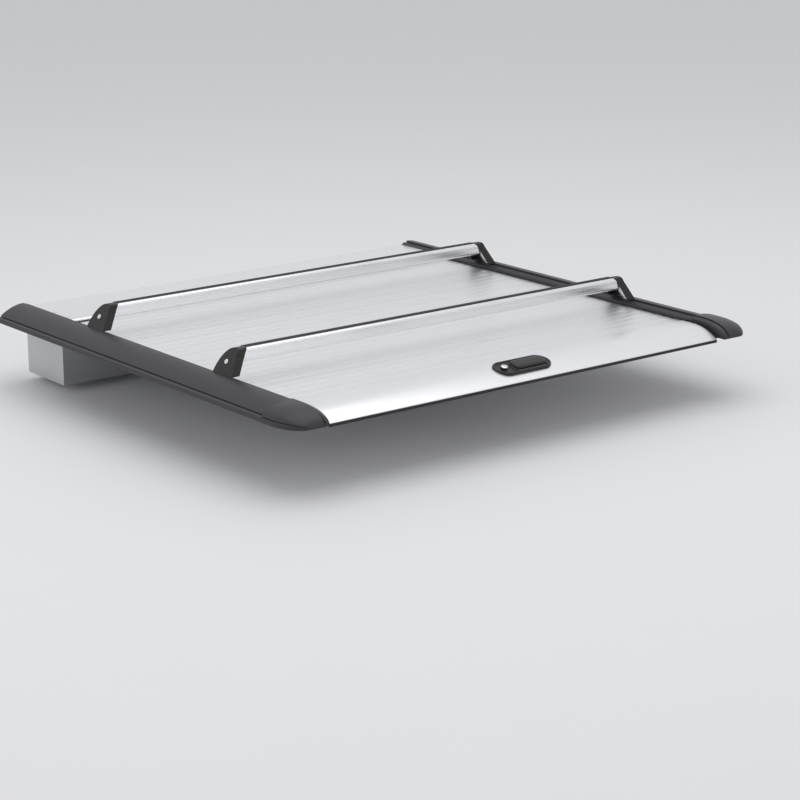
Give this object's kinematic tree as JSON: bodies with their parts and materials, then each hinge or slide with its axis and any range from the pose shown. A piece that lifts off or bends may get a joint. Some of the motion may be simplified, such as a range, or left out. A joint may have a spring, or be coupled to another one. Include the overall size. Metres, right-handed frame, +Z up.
{
  "type": "roll-up tonneau cover",
  "caption": "Roll-up aluminium tonneau cover: slatted curtain between side rails, end board with lift handle, canister with drum, and two sliding load bars.",
  "frame": {"origin": "centre line of the bed, at the rear edge of the end board, on the plane of the bed rails", "axes": "+X to the vehicle's right, +Y forward to the cab, +Z up"},
  "size_m": [1.72, 1.5569, 0.3142],
  "materials": {
    "rail": "charcoal powder coat, satin",
    "cap": "black moulded plastic, satin",
    "slat": "natural anodised, satin",
    "end_board": "natural anodised, satin bright",
    "rubber": "black rubber",
    "handle": "black moulded plastic, satin",
    "chrome": "polished chrome",
    "latch": "zinc plated",
    "tub": "mill finish",
    "lid": "anodised, smooth and reflective",
    "bar": "anodised, bright",
    "spring": "oiled spring steel"
  },
  "bodies": {
    "frame": {"left_rail": "rail", "right_rail": "rail", "left_end_cap": "cap", "right_end_cap": "cap", "canister_tub": "tub", "canister_lid": "lid"},
    "curtain": {"slat_01": "slat", "slat_02": "slat", "slat_03": "slat", "slat_04": "slat", "slat_05": "slat", "slat_06": "slat", "slat_07": "slat", "slat_08": "slat", "slat_09": "slat", "slat_10": "slat", "slat_11": "slat", "slat_12": "slat", "slat_13": "slat", "slat_14": "slat", "slat_15": "slat", "slat_16": "slat", "slat_17": "slat", "slat_18": "slat", "slat_19": "slat", "slat_20": "slat", "slat_21": "slat", "slat_22": "slat", "slat_23": "slat", "slat_24": "slat", "slat_25": "slat", "slat_26": "slat", "slat_27": "slat", "slat_28": "slat", "end_board": "end_board", "end_board_seal": "rubber", "handle_bezel": "handle", "leader_sheet": "spring"},
    "drum": {"drum": "tub", "return_spring": "spring"},
    "lever": {"handle_lever": "handle"},
    "key": {"key_cylinder": "chrome"},
    "left_rod": {"left_latch_rod": "latch"},
    "right_rod": {"right_latch_rod": "latch"},
    "rear_load_bar": {"rear_bar": "bar", "rear_bar_strip": "rubber", "rear_left_cover": "handle", "rear_right_cover": "handle", "rear_left_bracket": "bar", "rear_right_bracket": "bar"},
    "rear_left_lock": {"rear_left_lock": "chrome"},
    "rear_right_lock": {"rear_right_lock": "chrome"},
    "front_load_bar": {"front_bar": "bar", "front_bar_strip": "rubber", "front_left_cover": "handle", "front_right_cover": "handle", "front_left_bracket": "bar", "front_right_bracket": "bar"},
    "front_left_lock": {"front_left_lock": "chrome"},
    "front_right_lock": {"front_right_lock": "chrome"}
  },
  "joints": [
    {"name": "curtain_slide", "type": "slide", "parent": "frame", "child": "curtain", "axis": [0, 1, 0], "range_m": [0, 1.125], "deforming": ["slat_01", "slat_02", "slat_03", "slat_04", "slat_05", "slat_06", "slat_07", "slat_08", "slat_09", "slat_10", "slat_11", "slat_12", "slat_13", "slat_14", "slat_15", "slat_16", "slat_17", "slat_18", "slat_19", "slat_20", "slat_21", "slat_22", "slat_23", "slat_24", "slat_25", "slat_26", "slat_27", "slat_28", "leader_sheet"]},
    {"name": "drum_spin", "type": "hinge", "parent": "frame", "child": "drum", "pos_m": [0, 1.424, -0.084], "axis": [1, 0, 0], "range_deg": [-1360, 0]},
    {"name": "handle_lift", "type": "hinge", "parent": "curtain", "child": "lever", "pos_m": [0.024, 0.07769, 0.03771], "axis": [-1, 0, 0], "range_deg": [0, 36], "stiffness_Nm_per_rad": 0.6, "springref_deg": -5.73},
    {"name": "key_turn", "type": "hinge", "parent": "curtain", "child": "key", "pos_m": [-0.066, 0.06, 0.02542], "axis": [0, -0.225, 0.9744], "range_deg": [0, 90]},
    {"name": "left_rod_slide", "type": "slide", "parent": "curtain", "child": "left_rod", "axis": [1, 0, 0], "range_m": [0, 0.012]},
    {"name": "right_rod_slide", "type": "slide", "parent": "curtain", "child": "right_rod", "axis": [-1, 0, 0], "range_m": [0, 0.0125]},
    {"name": "rear_bar_slide", "type": "slide", "parent": "frame", "child": "rear_load_bar", "axis": [0, 1, 0], "range_m": [-0.25, 0.25]},
    {"name": "front_bar_slide", "type": "slide", "parent": "frame", "child": "front_load_bar", "axis": [0, 1, 0], "range_m": [-0.17, 0.33]},
    {"name": "rear_left_lock_turn", "type": "hinge", "parent": "rear_load_bar", "child": "rear_left_lock", "pos_m": [-0.74529, 0.443, 0.08], "axis": [-0.8688, 0, 0.4952], "range_deg": [0, 90]},
    {"name": "rear_right_lock_turn", "type": "hinge", "parent": "rear_load_bar", "child": "rear_right_lock", "pos_m": [0.74529, 0.443, 0.08], "axis": [0.8688, 0, 0.4952], "range_deg": [0, 90]},
    {"name": "front_left_lock_turn", "type": "hinge", "parent": "front_load_bar", "child": "front_left_lock", "pos_m": [-0.74529, 1.111, 0.08], "axis": [-0.8688, 0, 0.4952], "range_deg": [0, 90]},
    {"name": "front_right_lock_turn", "type": "hinge", "parent": "front_load_bar", "child": "front_right_lock", "pos_m": [0.74529, 1.111, 0.08], "axis": [0.8688, 0, 0.4952], "range_deg": [0, 90]}
  ],
  "couplings": [
    {"joint": "drum_spin", "follows": "curtain_slide", "rad_per_m": -21},
    {"joint": "handle_lift", "follows": "left_rod_slide", "rad_per_m": 51},
    {"joint": "right_rod_slide", "follows": "left_rod_slide", "ratio": 1}
  ]
}
